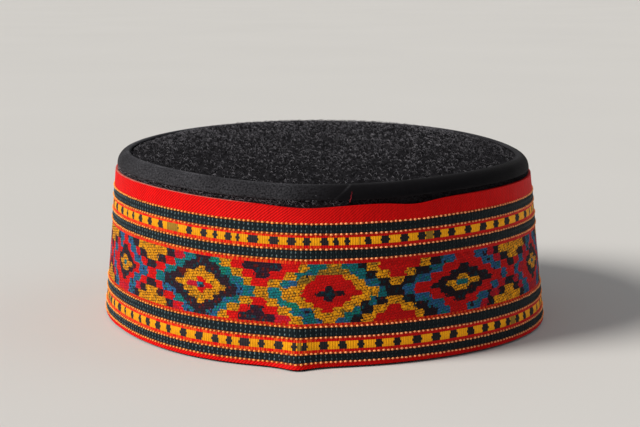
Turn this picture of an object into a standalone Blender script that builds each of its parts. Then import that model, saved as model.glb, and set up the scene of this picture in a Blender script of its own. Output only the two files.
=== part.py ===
"""Round cap of black wool fleece with a woven border band and a taped rim.

A standalone Blender 4.5 script. Run it from the text editor, or with
blender --background --python part.py

Units are metres and +Z is up. The cap stands on its open mouth at Z = 0, and the
origin is the middle of its outline on the floor. The front, where the band is
creased, faces -Y. A bearing is an angle in degrees round the cap: 0 at the front,
growing towards +X. A height is the one that a level rim would give; the rim's
wave is added to it. An inset is a depth in from the band's outer face.
"""

from collections import namedtuple
from math import cos, cosh, exp, radians, sin, tau

import bmesh
import bpy

# Driving dimensions of the whole cap
BASE_RADIUS = 0.0950
RIM_RADIUS = 0.0878
BAND_TOP = 0.0640
BAND_HEM = 0.0009
WALL_TOP = 0.0672
LIP_TOP = 0.0717

# Thickness of each cloth, and the air left between two of them
BAND_THICKNESS = 0.0015
FLEECE_THICKNESS = 0.0025
LAYER_GAP = 0.00035

# The crown is puffed: how far its middle stands above its edge, and how square
# its profile is (2 is a plain dome, more is a flat top with a rounded shoulder)
CROWN_RISE = 0.0075
CROWN_SQUARENESS = 4.0
CROWN_SPREAD_STEPS = 7

# Soft lobes of the plan: each adds size * cos(count * (bearing - toward)) to the
# radius, with one size at the floor and one at the rim. A count of 1 moves the
# whole ring: the rim sits forwards of the floor's outline.
Lobe = namedtuple("Lobe", "count toward base_size rim_size")
PLAN_LOBES = (
    Lobe(count=2, toward=48, base_size=0.0003, rim_size=0.0),
    Lobe(count=3, toward=29, base_size=0.0006, rim_size=0.0),
    Lobe(count=4, toward=-20, base_size=0.0019, rim_size=0.0),
    Lobe(count=1, toward=-7, base_size=0.0, rim_size=0.0041),
    Lobe(count=2, toward=64, base_size=0.0, rim_size=0.0013),
)

# The rim isn't level: it stands highest behind and lowest in front
Wave = namedtuple("Wave", "count toward size")
RIM_WAVES = (
    Wave(count=1, toward=-168, size=0.0021),
    Wave(count=3, toward=48, size=0.0004),
    Wave(count=4, toward=43, size=0.0004),
)

# The upright crease at the front. It is proudest at the floor, where the hem
# flares out as well, and has faded out at its top.
CREASE_BEARING = -5.8
CREASE_SPREAD = 2.7
CREASE_PROUD = 0.0032
CREASE_TOP = 0.060
HEM_FLARE = 0.0026
HEM_FLARE_HEIGHT = 0.003

# Places where the band's top edge sags under the rim
Sag = namedtuple("Sag", "bearing depth spread")
TOP_EDGE_SAGS = (
    Sag(bearing=-4.5, depth=0.0012, spread=9.0),
    Sag(bearing=22.5, depth=0.0013, spread=6.0),
)
SAG_START = 0.0560

# Steps round the cap: even ones, and closer ones at the crease
BEARING_STEP = 4.5
CREASE_BEARINGS = (-6.6, -3.3, -2.2, -1.1, 1.1, 2.2, 3.3, 6.6)

# Heights at which the upright walls have a ring of points
BAND_RINGS = (BAND_HEM, 0.003, 0.007, 0.014, 0.026, 0.040, 0.055, BAND_TOP)
WALL_RINGS = (0.0, 0.003, 0.007, 0.016, 0.032, 0.050, WALL_TOP)

# Section of the rim tape: up its outer face, over the lip and down inside, then
# back along the face that grips the fleece
Corner = namedtuple("Corner", "inset height")
TAPE_SECTION = (
    Corner(0.0006, 0.0659),
    Corner(0.0006, 0.0672),
    Corner(0.0009, 0.0688),
    Corner(0.0018, 0.0703),
    Corner(0.0031, 0.07135),
    Corner(0.0044, LIP_TOP),
    Corner(0.0054, 0.07145),
    Corner(0.0060, 0.07095),
    Corner(0.0056, 0.07060),
    Corner(0.0045, 0.07075),
    Corner(0.0033, 0.07035),
    Corner(0.0022, 0.0693),
    Corner(0.0015, 0.0678),
    Corner(0.0015, 0.0659),
)

# Edge of the crown, from its underside round to its top face
CROWN_EDGE_UNDER = Corner(0.0028, WALL_TOP + LAYER_GAP)
CROWN_EDGE_SIDE = Corner(0.0029, 0.0690)
CROWN_EDGE_TOP = Corner(0.0044, 0.0697)

FLEECE_INSET = BAND_THICKNESS + LAYER_GAP

# Colours as linear red, green and blue
BLACK_FLEECE = (0.012, 0.012, 0.014)
BLACK_TAPE = (0.018, 0.018, 0.019)
RED_WEAVE = (0.55, 0.012, 0.010)
SHARP_ANGLE = 40.0


def bearings():
    """Bearings of the points round the cap, in order."""
    count = round(360 / BEARING_STEP)
    offsets = [index * BEARING_STEP - 180 for index in range(count)]
    return [CREASE_BEARING + offset for offset in sorted(offsets + list(CREASE_BEARINGS))]


def lobed_radius(bearing, rise):
    """Radius of the plan; rise is 0 at the floor and 1 at the band's top edge."""
    radius = BASE_RADIUS + (RIM_RADIUS - BASE_RADIUS) * rise
    for lobe in PLAN_LOBES:
        size = lobe.base_size + (lobe.rim_size - lobe.base_size) * rise
        radius += size * cos(radians(lobe.count * (bearing - lobe.toward)))
    return radius


def crease_depth(bearing, height):
    """How far the crease pushes the cloth outwards."""
    away = (bearing - CREASE_BEARING + 180) % 360 - 180
    across = 1 / cosh(away / CREASE_SPREAD)
    upward = max(0.0, 1 - height / CREASE_TOP)
    return across * (CREASE_PROUD * upward + HEM_FLARE * exp(-height / HEM_FLARE_HEIGHT))


def rim_lift(bearing, height):
    """How far the rim's wave raises a point; nothing at the floor."""
    wave = sum(w.size * cos(radians(w.count * (bearing - w.toward))) for w in RIM_WAVES)
    return wave * height / BAND_TOP


def top_edge_sag(bearing, height):
    """How far the band's top edge hangs down here."""
    share = max(0.0, (height - SAG_START) / (BAND_TOP - SAG_START))
    return share * sum(s.depth * exp(-((bearing - s.bearing) / s.spread) ** 2) for s in TOP_EDGE_SAGS)


def plan_middle():
    """Middle of the cap's outline on the floor, which becomes the origin."""
    points = [polar(bearing, lobed_radius(bearing, 0) + crease_depth(bearing, BAND_HEM))
              for bearing in bearings()]
    xs, ys = zip(*points)
    return (min(xs) + max(xs)) / 2, (min(ys) + max(ys)) / 2


def polar(bearing, radius):
    """Plan position of a bearing and a radius."""
    angle = radians(bearing)
    return radius * sin(angle), -radius * cos(angle)


def place(bearing, inset, height, sag=0.0):
    """A point of the cloth, as x, y and z."""
    radius = lobed_radius(bearing, height / BAND_TOP) + crease_depth(bearing, height) - inset
    x, y = polar(bearing, radius)
    return x - MIDDLE_X, y - MIDDLE_Y, height + rim_lift(bearing, height) - sag


def material(name, colour, roughness):
    """A plain dielectric cloth."""
    made = bpy.data.materials.new(name)
    made.use_nodes = True
    shader = made.node_tree.nodes["Principled BSDF"]
    shader.inputs["Base Color"].default_value = (*colour, 1)
    shader.inputs["Roughness"].default_value = roughness
    shader.inputs["Metallic"].default_value = 0.0
    return made


def solid_object(name, mesh_builder, surface):
    """Put a finished bmesh into the scene as one named solid."""
    bmesh.ops.recalc_face_normals(mesh_builder, faces=mesh_builder.faces)
    mesh = bpy.data.meshes.new(name)
    mesh_builder.to_mesh(mesh)
    mesh_builder.free()
    mesh.shade_smooth()
    mesh.set_sharp_from_angle(angle=radians(SHARP_ANGLE))
    mesh.materials.append(surface)
    made = bpy.data.objects.new(name, mesh)
    bpy.context.scene.collection.objects.link(made)
    return made


def join_rings(mesh_builder, ring, following):
    """Faces between two rings that have the same number of points."""
    count = len(ring)
    for index in range(count):
        after = (index + 1) % count
        mesh_builder.faces.new((ring[index], ring[after], following[after], following[index]))


def swept_ring(name, section, surface, sagging=False):
    """A closed section carried once round the cap."""
    mesh_builder = bmesh.new()
    rings = []
    for corner in section:
        ring = []
        for bearing in bearings():
            sag = top_edge_sag(bearing, corner.height) if sagging else 0.0
            ring.append(mesh_builder.verts.new(place(bearing, corner.inset, corner.height, sag)))
        rings.append(ring)
    for ring, following in zip(rings, rings[1:] + rings[:1]):
        join_rings(mesh_builder, ring, following)
    return solid_object(name, mesh_builder, surface)


def upright_section(heights, inset, thickness):
    """Section of an upright strip: its outer face upwards, its inner face down."""
    outer = [Corner(inset, height) for height in heights]
    inner = [Corner(inset + thickness, height) for height in reversed(heights)]
    return outer + inner


def crown_skin(mesh_builder, edge):
    """Rings of one face of the crown from its edge inwards, and its middle point."""
    edge_points = [place(bearing, edge.inset, edge.height) for bearing in bearings()]
    middle = [sum(axis) / len(edge_points) for axis in zip(*edge_points)]
    rings = []
    for step in range(CROWN_SPREAD_STEPS):
        spread = cos(step / CROWN_SPREAD_STEPS * tau / 4)
        puff = CROWN_RISE * (1 - spread ** CROWN_SQUARENESS)
        ring = []
        for x, y, z in edge_points:
            point = (middle[0] + (x - middle[0]) * spread,
                     middle[1] + (y - middle[1]) * spread,
                     middle[2] + (z - middle[2]) * spread + puff)
            ring.append(mesh_builder.verts.new(point))
        rings.append(ring)
    return rings, mesh_builder.verts.new((middle[0], middle[1], middle[2] + CROWN_RISE))


def close_middle(mesh_builder, ring, middle):
    """A fan of triangles from a face's innermost ring to its middle point."""
    for index, point in enumerate(ring):
        mesh_builder.faces.new((point, ring[(index + 1) % len(ring)], middle))


def crown_disc(surface):
    """The puffed disc: two like faces and the rounded edge that joins them."""
    mesh_builder = bmesh.new()
    top_rings, top_middle = crown_skin(mesh_builder, CROWN_EDGE_TOP)
    under_rings, under_middle = crown_skin(mesh_builder, CROWN_EDGE_UNDER)
    side = [mesh_builder.verts.new(place(bearing, CROWN_EDGE_SIDE.inset, CROWN_EDGE_SIDE.height))
            for bearing in bearings()]
    rings = top_rings[::-1] + [side] + under_rings
    for ring, following in zip(rings, rings[1:]):
        join_rings(mesh_builder, ring, following)
    close_middle(mesh_builder, top_rings[-1], top_middle)
    close_middle(mesh_builder, under_rings[-1], under_middle)
    return solid_object("crown", mesh_builder, surface)


def clear_scene():
    for existing in list(bpy.data.objects):
        bpy.data.objects.remove(existing, do_unlink=True)


def build():
    fleece = material("boiled_wool_fleece", BLACK_FLEECE, 0.95)
    tape = material("cotton_bias_tape", BLACK_TAPE, 0.80)
    weave = material("woven_border", RED_WEAVE, 0.85)
    swept_ring("side_wall", upright_section(WALL_RINGS, FLEECE_INSET, FLEECE_THICKNESS), fleece)
    swept_ring("patterned_band", upright_section(BAND_RINGS, 0.0, BAND_THICKNESS), weave, sagging=True)
    crown_disc(fleece)
    swept_ring("top_binding", TAPE_SECTION, tape)


MIDDLE_X, MIDDLE_Y = plan_middle()
clear_scene()
build()
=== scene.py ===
"""The embroidered skullcap dressed: woven border, stitch rows, fleece, binding tape, floor and light.

Everything that goes round the cap is placed by its bearing in degrees (0 at the front, growing to
the wearer's left, +X), its height above the floor and its inset into the wall, both in metres.
"""
import math

import bpy
import numpy as np
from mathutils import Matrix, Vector, noise


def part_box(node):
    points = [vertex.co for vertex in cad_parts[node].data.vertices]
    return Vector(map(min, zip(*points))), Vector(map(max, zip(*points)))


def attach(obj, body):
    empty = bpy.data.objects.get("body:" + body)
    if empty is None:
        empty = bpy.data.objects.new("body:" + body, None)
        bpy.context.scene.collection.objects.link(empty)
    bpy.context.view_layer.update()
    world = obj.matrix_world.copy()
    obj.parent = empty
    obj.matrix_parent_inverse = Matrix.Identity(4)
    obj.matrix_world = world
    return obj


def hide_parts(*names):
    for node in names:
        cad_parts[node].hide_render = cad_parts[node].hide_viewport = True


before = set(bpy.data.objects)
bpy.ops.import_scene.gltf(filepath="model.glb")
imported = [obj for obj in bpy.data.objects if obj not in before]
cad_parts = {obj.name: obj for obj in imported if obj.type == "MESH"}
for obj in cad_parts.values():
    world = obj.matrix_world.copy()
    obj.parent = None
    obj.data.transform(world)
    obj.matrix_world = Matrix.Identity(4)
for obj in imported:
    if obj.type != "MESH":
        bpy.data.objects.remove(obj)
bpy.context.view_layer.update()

bl_info = {
    "name": "Embroidered skullcap",
    "version": (1, 0, 0),
    "blender": (4, 5, 0),
    "location": "3D View > Sidebar > Skullcap",
    "description": "Dresses the skullcap's solids in woven cotton, fleece and tape",
    "category": "Object",
}

MM = 0.001

# The wall's shape, as in the part
BASE_RADIUS = 0.0950
RIM_RADIUS = 0.0878
BAND_HEM = 0.0009
BAND_TOP = 0.0640
FLEECE_THICKNESS = 0.0025
FLEECE_INSET = 0.00185
CROWN_RISE = 0.0075
CROWN_SQUARENESS = 4.0
CROWN_EDGE_HEIGHT = 0.0697
CROWN_EDGE_INSET = 0.0044
PLAN_LOBES = (
    (2, 48, 0.0003, 0.0), (3, 29, 0.0006, 0.0), (4, -20, 0.0019, 0.0),
    (1, -7, 0.0, 0.0041), (2, 64, 0.0, 0.0013),
)
RIM_WAVES = ((1, -168, 0.0021), (3, 48, 0.0004), (4, 43, 0.0004))
CREASE_BEARING = -5.8
CREASE_SPREAD = 2.7
CREASE_PROUD = 0.0032
CREASE_TOP = 0.060
HEM_FLARE = 0.0026
HEM_FLARE_HEIGHT = 0.003
TOP_EDGE_SAGS = ((-4.5, 0.0012, 9.0), (22.5, 0.0013, 6.0))
SAG_START = 0.0560

# Threads are counted along the wall at this height; the repeat is charted from its thread 0
GAUGE_HEIGHT = 0.030
THREADS_ROUND = 600
FIRST_THREAD_FROM_FRONT = 0.0030
BACK_SEAM_THREAD = -303
REPEAT_START = -108
REPEAT_THREADS = 218

# Thread colours, by the letter that the charts use: reds r c d, browns k p m s, yellows y o a, greens
# and blues t b g v, navy n, orange h and the pale filling w
THREAD_COLOURS = {
    "r": "#D60808",
    "c": "#C4122C",
    "d": "#5E1210",
    "k": "#2A1C26",
    "p": "#30182A",
    "y": "#DC900E",
    "o": "#9A7422",
    "t": "#0A767C",
    "b": "#286290",
    "g": "#06806C",
    "v": "#0C3A46",
    "n": "#0E1B20",
    "s": "#8A3410",
    "h": "#E0480E",
    "m": "#2E2A2C",
    "a": "#E89C0A",
    "w": "#E8A090",
}

# How dark the painted shade in the gaps between floats is in each yarn, and what other yarns peep through:
# letter, share
GAP_DEPTHS = {"y": 0.85, "o": 0.8, "t": 0.6, "b": 0.5, "g": 0.65, "k": 0.3, "p": 0.3, "c": 0.25, "h": 0.3}
PLAIN_GAP_DEPTH = 0.14

# How much painted light the cloth gets, by bearing: all of it on the lit left as the camera sees it,
# part of it on the far right, none at the right of the front, which lies in shade
PAINTED_LIGHT_LEFT = ((-180, 0.0), (-120, 1.0), (-13, 1.0), (9, 0.0))
PAINTED_LIGHT_RIGHT = ((55, 0.0), (85, 0.45), (130, 0.45), (180, 0.0))

# How much darker or brighter each yarn is painted away from the lit side: painted shade on the reds and
# darks, and brighter yellows
SHADED_SIDE_TONES = {
    "r": 0.8, "c": 0.75, "k": 0.45, "p": 0.45, "m": 0.5, "n": 0.75, "v": 0.5, "d": 0.6, "t": 0.8, "g": 0.8,
    "b": 0.85, "y": 1.15, "a": 1.25,
}
STRAY_YARNS = {
    "k": (("p", 0.22), ("v", 0.12), ("d", 0.05)),
    "p": (("k", 0.25), ("v", 0.08), ("d", 0.08)),
    "t": (("b", 0.14), ("g", 0.12)),
    "b": (("t", 0.2), ("p", 0.08)),
    "g": (("t", 0.25),),
    "y": (("o", 0.08), ("a", 0.15)),
    "o": (("y", 0.3), ("k", 0.06)),
    "c": (("r", 0.2),),
}

# The border's stripes from hem to top edge: top height in mm, rows of mesh, and what is woven there
STRIPES = (
    (2.4, 1, "hem"),
    (3.0, 1, "dots"),
    (5.95, 2, "navy"),
    (6.6, 1, "dots"),
    (7.75, 1, "red"),
    (10.9, 3, "checker_low"),
    (12.1, 1, "red"),
    (12.8, 1, "dots"),
    (16.4, 2, "navy"),
    (17.1, 1, "dots"),
    (18.1, 1, "speckle"),
    (41.3, 44, "motif"),
    (42.6, 1, "red"),
    (43.25, 1, "dots"),
    (46.75, 2, "navy"),
    (47.4, 1, "dots"),
    (48.55, 1, "red"),
    (51.55, 3, "checker_high"),
    (52.5, 1, "red"),
    (53.2, 1, "dots"),
    (56.65, 2, "navy"),
    (57.35, 1, "dots"),
    (64.0, 2, "twill"),
)

# The figured part's lower edge, the height of one pick, and the pitch of the ribs and of the twill, in mm
FIGURED_FROM_MM = 18.1
PICK_MM = (41.3 - 18.1) / 22
RIB_MM = 0.9725
WALE_MM = 0.952

# How many mm one unit up the UV map stands for, on the border and round the tape
UV_HEIGHT_MM = 70.0
TAPE_UV_MM = 22.0

# The border's edges and reverse: inset and height in mm, from the top edge down the back to the hem
BORDER_BACK = ((0.35, 64.06), (1.15, 64.06), (1.5, 63.7), (1.5, 32.0), (1.5, 1.3), (1.2, 0.9), (0.3, 0.86))

# The border's fine relief: rows that waver, floats that puff, raised stripes and the groove of the seam
ROW_WAVER = 0.16 * MM
FLOAT_PUFF = 0.09 * MM
RAISED_STRIPES = {"checker_high": 0.16 * MM, "checker_low": 0.16 * MM, "navy": 0.05 * MM}
SEAM_GROOVE = 0.35 * MM
SEAM_GROOVE_THREADS = 0.9

# Where the border's cut top edge shows pale filling, in degrees
CUT_EDGE_MIDDLE = -52
CUT_EDGE_SPREAD = 36

# How often the chart is averaged with its neighbours before it is woven
EDGE_SOFTENING = 3

# Rows of raised dots: height in mm and dots round the cap
DOT_ROWS = (
    (2.7, 318),
    (6.3, 318),
    (12.4, 318),
    (16.75, 300),
    (42.9, 300),
    (47.05, 300),
    (52.85, 300),
    (57.0, 300),
)
DOT_STAND = 0.9 * MM

# Rows of light ticks on the navy stripes, one to two threads: height in mm
TICK_ROWS = (3.75, 5.2, 13.7, 15.5, 44.15, 45.85, 54.05, 55.8)
TICK_STAND = 0.4 * MM

# The figured part, charted: runs of threads for each row, from the top down, with its picks
GROUND_ROWS = (
    (3, "2r 5b 6k 21y 5k 5c 6t 7k 5g 5y 5r 16p 7r 4y 7t 6o 6t 4k 5y 17r 5y 5k 7b 10r 7b 4c 4k 21y 3k 6b 2r"),
    (3, "5r 6b 3c 6k 8y 5k 6r 5t 17k 6g 5y 5r 6p 6r 5y 6t 6o 5r 6o 5t 4k 5y 7r 4y 7k 6b 20r 7b 5c 5k 8y 6k"
        " 4c 4b 4r"),
    (3, "9r 7b 4r 7k 6r 7t 26k 6t 4y 7r 5y 3t 4b 5o 16r 5y 3b 3t 4k 6y 5k 7b 32r 6b 5r 5k 4r 5b 4c 8r"),
    (4, "14r 7b 6r 5t 1b 7k 25y 5k 2b 5t 6y 5t 7y 25r 7y 3t 7k 5b 45r 4b 6r 4b 5c 12r"),
    (3, "9r 6b 5r 7k 5r 8b 24k 7t 5y 6r 5y 3t 5g 6o 12r 7y 3k 3t 4k 7y 5k 7b 31r 5b 5c 6k 4c 5b 13r"),
    (3, "5r 6b 4c 5k 8y 5k 6r 7t 13k 7t 5y 4r 6p 6r 5y 9t 4y 4r 7y 4t 5k 5y 6r 6y 5k 8b 17r 6b 2k 5c 4k 7y"
        " 4k 4c 5b 9r"),
    (3, "4c 6b 4k 20y 5k 5c 6b 6k 6b 4y 5r 15p 6c 5y 4t 3b 6y 3b 3t 4k 5y 17r 4y 6k 6b 8r 8b 4c 4k 19y 4k"
        " 5b 8c"),
)

# What fills each diamond, laid over the ground: row of two picks from the top, first thread, runs
DIAMOND_ROWS = (
    (1, -60, "13k"), (2, -63, "6k 4y 7k"), (3, -67, "5d 13y 6k"), (4, -71, "7k 7y 4r 7y 5k"),
    (5, -75, "7k 6y 5c 4b 4r 6y 5k"), (6, -72, "8k 8y 3r 7y 7k"), (7, -68, "7k 12y 5k"),
    (8, -64, "7k 4y 7k"), (9, -61, "12k"),
    (1, -8, "3t 12o 6t"), (2, -12, "6o 11r 5y 3t"), (3, -13, "4o 17r 5y 3b"), (4, -16, "5y 9r 3k 8r 5y"),
    (5, -20, "8y 6r 4k 3v 4k 7r 7y"), (6, -18, "8y 7r 4k 7r 7y 2t"), (7, -13, "6y 12r 7y"),
    (8, -11, "4b 3y 5r 7y 4t"), (9, -7, "12y 3t"),
    (2, 55, "5k"), (3, 50, "15k"), (4, 45, "9k 5y 11k"), (5, 41, "7k 5y 6t 6y 8k"), (6, 45, "7k 7y 8k"),
    (7, 48, "15k"), (8, 52, "6k"),
    (2, -111, "5k"), (3, -113, "10k"), (4, -116, "5k 5y 6k"), (5, -117, "3k 4y 3t 6y 4k"),
    (6, -116, "5k 6y 5k"), (7, -114, "10k"), (8, -111, "4k"),
)

# The two rows of blocks, charted in half threads over one repeat
CHECKER_HIGH = (
    "4m 8a 5m 8a 7m 8a 7m 8a 7m 5a 13o 1m 8a 7m 8a 7m 5a 5m 6a 7m 3a 4m 6a 10m 8a 9m 6a 8m 5a 7m 7a 7m 3a"
    " 5m 4a 5m 7a 1o 3a 6m 7a 8m 8a 8m 7a 8m 6o 8m 6a 8m 9a 8m 9a 9m 8a 8m 8a 9m 10a 9m 11a 8m 8a"
)
CHECKER_LOW = (
    "4m 10a 6m 9a 5m 7a 7m 7a 8m 7a 6m 10a 8m 8a 8m 8a 7m 6a 6m 5a 10m 6a 6m 7a 8m 6a 5m 3o 5m 8a 8m 7a 7m"
    " 8a 6m 8a 7m 8a 7m 9a 9m 8a 9m 8a 8m 9a 8m 8a 8m 6a 9m 6a 7m 7o 7m 6a 6m 8a 10m 8a"
)

# The fleece: how finely it is meshed, heights of the wall's outer face in mm, the strip of pile that
# shows above the border, and how far the pile's roots lie below the crown's surface
WALL_COLUMNS = 900
CROWN_CELLS = 240
WALL_OUTER_MM = (0.35, 3.0, 7.0, 16.0, 32.0, 50.0, 60.0, 63.6, 64.6, 65.6, 66.6)
PILE_STRIP_FROM = 0.0635
PILE_DROP = 0.3 * MM
STRIP_CURLS = 5000

# The binding tape's section: inset and height in mm, round its rolled edge and back
TAPE_SECTION = (
    (0.60, 65.90), (0.60, 67.20), (0.90, 68.80), (1.80, 70.30), (3.10, 71.35), (4.40, 71.70), (5.40, 71.45),
    (6.00, 70.95), (5.60, 70.60), (4.50, 70.75), (3.30, 70.35), (2.20, 69.30), (1.50, 67.80), (1.50, 65.90),
)

TAPE_COLUMNS = 600
TAPE_FACE_INSET = 0.0035

# Where the tape is worn: inset of its lip and height of its foot in mm, and the height of the fold's top,
# above which the joint gets a painted highlight
TAPE_LIP_MM = 4.6
TAPE_LIP_FROM = 0.0708
TAPE_FOOT_MM = 65.9
TAPE_FOLD_FROM = 0.0685

# Where the tape's ends meet: bearings of the slanting edge at its foot and its top, and its step
TAPE_JOINT_LOW = 2.6
TAPE_JOINT_HIGH = 6.4
TAPE_LAP = 0.0007

# The loose thread's course: bearing, height in mm and stand off the wall in mm
LOOSE_THREAD = (
    (6.1, 65.2, 0.4), (6.2, 66.1, 0.5), (6.45, 67.0, 0.4), (6.4, 67.9, 0.3), (6.7, 68.6, 0.2),
    (6.6, 69.3, -0.2),
)
LOOSE_THREAD_THICKNESS = 0.17 * MM

# The camera stands where the photograph was taken from
CAMERA_AT = (0.00058, -0.5976, 0.1495)
CAMERA_LOOKS_AT = (-0.00091, 0.00238, 0.04206)
CAMERA_LENS = 78.4

# The floor is flat this far out, then curves up at its rim
FLOOR_RADIUS = 18.0
FLOOR_CURVE = 2.0
FLOOR_CURVE_STEPS = 8

# Soft window light from the left, as in the photograph, over an even pale room: where each light comes
# from, how wide it is in degrees, its power and its colour
LIGHTS = (
    ("key_light", (-0.94, -0.34, 0.70), 25, 3.7, "#FFFAF4"),
    ("fill_light", (0.9, 0.1, 0.7), 40, 0.2, "#F4F6FF"),
)
ROOM_COLOUR = "#F2F4F6"
ROOM_STRENGTH = 0.28


def linear(hex_colour):
    """Turns an sRGB hex colour into the linear RGBA that Blender works in."""
    parts = [int(hex_colour[i:i + 2], 16) / 255 for i in (1, 3, 5)]
    return tuple(c / 12.92 if c <= 0.04045 else ((c + 0.055) / 1.055) ** 2.4 for c in parts) + (1.0,)


def add_node(tree, kind, at, fields=None, inputs=None):
    """Adds a shader node: its own fields, and its inputs as values or as sockets to link from."""
    made = tree.nodes.new("ShaderNode" + kind)
    made.location = at
    for name, value in (fields or {}).items():
        setattr(made, name, value)
    for name, value in (inputs or {}).items():
        if isinstance(value, bpy.types.NodeSocket):
            tree.links.new(value, made.inputs[name])
        else:
            made.inputs[name].default_value = value
    return made


def new_material(name):
    """An empty node material and its tree."""
    made = bpy.data.materials.new(name)
    made.use_nodes = True
    made.node_tree.nodes.clear()
    return made, made.node_tree


# Placing things on the wall


def waves(bearing, terms):
    """The sum of size * cos(count * (bearing - toward))."""
    return sum(size * np.cos(np.radians(count * (bearing - toward))) for count, toward, size in terms)


def outline_radius(bearing, rise):
    """The outline's radius, from the base shape at rise 0 to the rim shape at 1."""
    terms = [(count, toward, base + (rim - base) * rise) for count, toward, base, rim in PLAN_LOBES]
    return BASE_RADIUS + (RIM_RADIUS - BASE_RADIUS) * rise + waves(bearing, terms)


def crease_depth(bearing, height):
    """How far the pressed crease at the front stands proud."""
    away = (bearing - CREASE_BEARING + 180) % 360 - 180
    across = 1 / np.cosh(away / CREASE_SPREAD)
    ridge = CREASE_PROUD * np.maximum(0, 1 - height / CREASE_TOP)
    return across * (ridge + HEM_FLARE * np.exp(-height / HEM_FLARE_HEIGHT))


def edge_sag(bearing, height):
    """How far the border's top edge dips in its two shallow sags."""
    dips = sum(depth * np.exp(-(((bearing - at) / spread) ** 2)) for at, depth, spread in TOP_EDGE_SAGS)
    return np.maximum(0, (height - SAG_START) / (BAND_TOP - SAG_START)) * dips


def on_wall(bearing, height, inset=0.0, sag=False):
    """Points on the wall, before the outline is centred."""
    bearing, height, inset = np.broadcast_arrays(
        np.asarray(bearing, float), np.asarray(height, float), np.asarray(inset, float)
    )
    radius = outline_radius(bearing, height / BAND_TOP) + crease_depth(bearing, height) - inset
    lift = waves(bearing, RIM_WAVES) * height / BAND_TOP
    if sag:
        lift = lift - edge_sag(bearing, height)
    turn = np.radians(bearing)
    return np.stack([radius * np.sin(turn), -radius * np.cos(turn), height + lift], axis=-1)


def outline_middle():
    """How far the outline's own middle lies from the middle of the CAD border, which is the origin."""
    ring = on_wall(np.arange(0, 360, 0.5)[:, None], np.array([BAND_HEM, 0.003, 0.007])[None, :])
    low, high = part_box("patterned_band")
    middle = (ring.min((0, 1)) + ring.max((0, 1))) / 2
    return np.array([middle[0] - (low[0] + high[0]) / 2, middle[1] - (low[1] + high[1]) / 2, 0.0])


MIDDLE = outline_middle()


def place(bearing, height, inset=0.0, sag=False):
    """Points on the wall in the shared frame."""
    return on_wall(bearing, height, inset, sag) - MIDDLE


def gauge():
    """Bearings all the way round, and the length of border from the front to each."""
    bearings = np.arange(-200, 200.01, 0.05)
    ring = on_wall(bearings, GAUGE_HEIGHT)
    steps = np.linalg.norm(np.diff(ring, axis=0), axis=1)
    lengths = np.concatenate([[0], np.cumsum(steps)])
    lengths -= np.interp(0, bearings, lengths)
    full_turn = np.interp(180, bearings, lengths) - np.interp(-180, bearings, lengths)
    return bearings, lengths, full_turn


GAUGE_BEARINGS, GAUGE_LENGTHS, BORDER_LENGTH = gauge()
THREAD_PITCH = BORDER_LENGTH / THREADS_ROUND


def thread_bearing(thread):
    """The bearing of a thread, counted from thread 0 of the chart."""
    return np.interp(FIRST_THREAD_FROM_FRONT + thread * THREAD_PITCH, GAUGE_LENGTHS, GAUGE_BEARINGS)


def on_wall_frames(bearing, height, inset=0.0, sag=False):
    """Points on the wall with the directions along it, up it and out of it."""
    here = place(bearing, height, inset, sag)
    along = place(bearing + 0.05, height, inset, sag) - place(bearing - 0.05, height, inset, sag)
    upward = place(bearing, height + 0.0002, inset, sag) - place(bearing, height - 0.0002, inset, sag)
    along /= np.linalg.norm(along, axis=-1, keepdims=True)
    out = np.cross(along, upward)
    out /= np.linalg.norm(out, axis=-1, keepdims=True)
    return here, along, np.cross(out, along), out


def painted_light_share(bearing):
    """How much painted light the cloth gets, from 0 to 1, fading softly at the front."""
    away = (np.asarray(bearing, float) + 180) % 360 - 180
    left = np.interp(away, *zip(*PAINTED_LIGHT_LEFT))
    right = np.interp(away, *zip(*PAINTED_LIGHT_RIGHT))
    return np.maximum(left * left * (3 - 2 * left), right)


# Making and finishing meshes


def start_grid(name, columns, rows):
    """Adds a flat grid primitive, and gives each vertex's column and row."""
    bpy.ops.object.select_all(action="DESELECT")
    bpy.ops.mesh.primitive_grid_add(x_subdivisions=columns, y_subdivisions=rows, size=1.0)
    piece = bpy.context.object
    piece.name = piece.data.name = name
    flat = np.empty(len(piece.data.vertices) * 3)
    piece.data.vertices.foreach_get("co", flat)
    flat = flat.reshape(-1, 3) + 0.5
    column = np.rint(flat[:, 0] * columns).astype(int)
    row = np.rint(flat[:, 1] * rows).astype(int)
    return piece, column, row


def move_vertices(piece, points):
    """Puts the piece's vertices at these points."""
    piece.data.vertices.foreach_set("co", np.asarray(points, float).ravel())
    piece.data.update()


def face_cells(piece, column, row):
    """The lowest column and row of each four-sided face of a grid."""
    corners = np.empty(len(piece.data.loops), int)
    piece.data.loops.foreach_get("vertex_index", corners)
    corners = corners.reshape(-1, 4)
    return column[corners].min(1), row[corners].min(1)


def paint(piece, name, colours, domain="CORNER"):
    """Keeps one linear RGBA for each corner or point as a colour attribute."""
    layer = piece.data.color_attributes.new(name=name, type="FLOAT_COLOR", domain=domain)
    layer.data.foreach_set("color", np.asarray(colours, float).ravel())


def keep_values(piece, name, values):
    """Keeps one number for each face."""
    layer = piece.data.attributes.new(name, "FLOAT", "FACE")
    layer.data.foreach_set("value", values)


def with_alpha(colours):
    """The colours with a full alpha."""
    return np.concatenate([colours, np.ones((len(colours), 1))], axis=1)


def set_uv(piece, across, up):
    """Keeps a place across and up for each vertex as the UV map."""
    corners = np.empty(len(piece.data.loops), int)
    piece.data.loops.foreach_get("vertex_index", corners)
    layer = piece.data.uv_layers[0] if piece.data.uv_layers else piece.data.uv_layers.new(name="UVMap")
    layer.data.foreach_set("uv", np.stack([across[corners], up[corners]], axis=-1).ravel())


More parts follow.
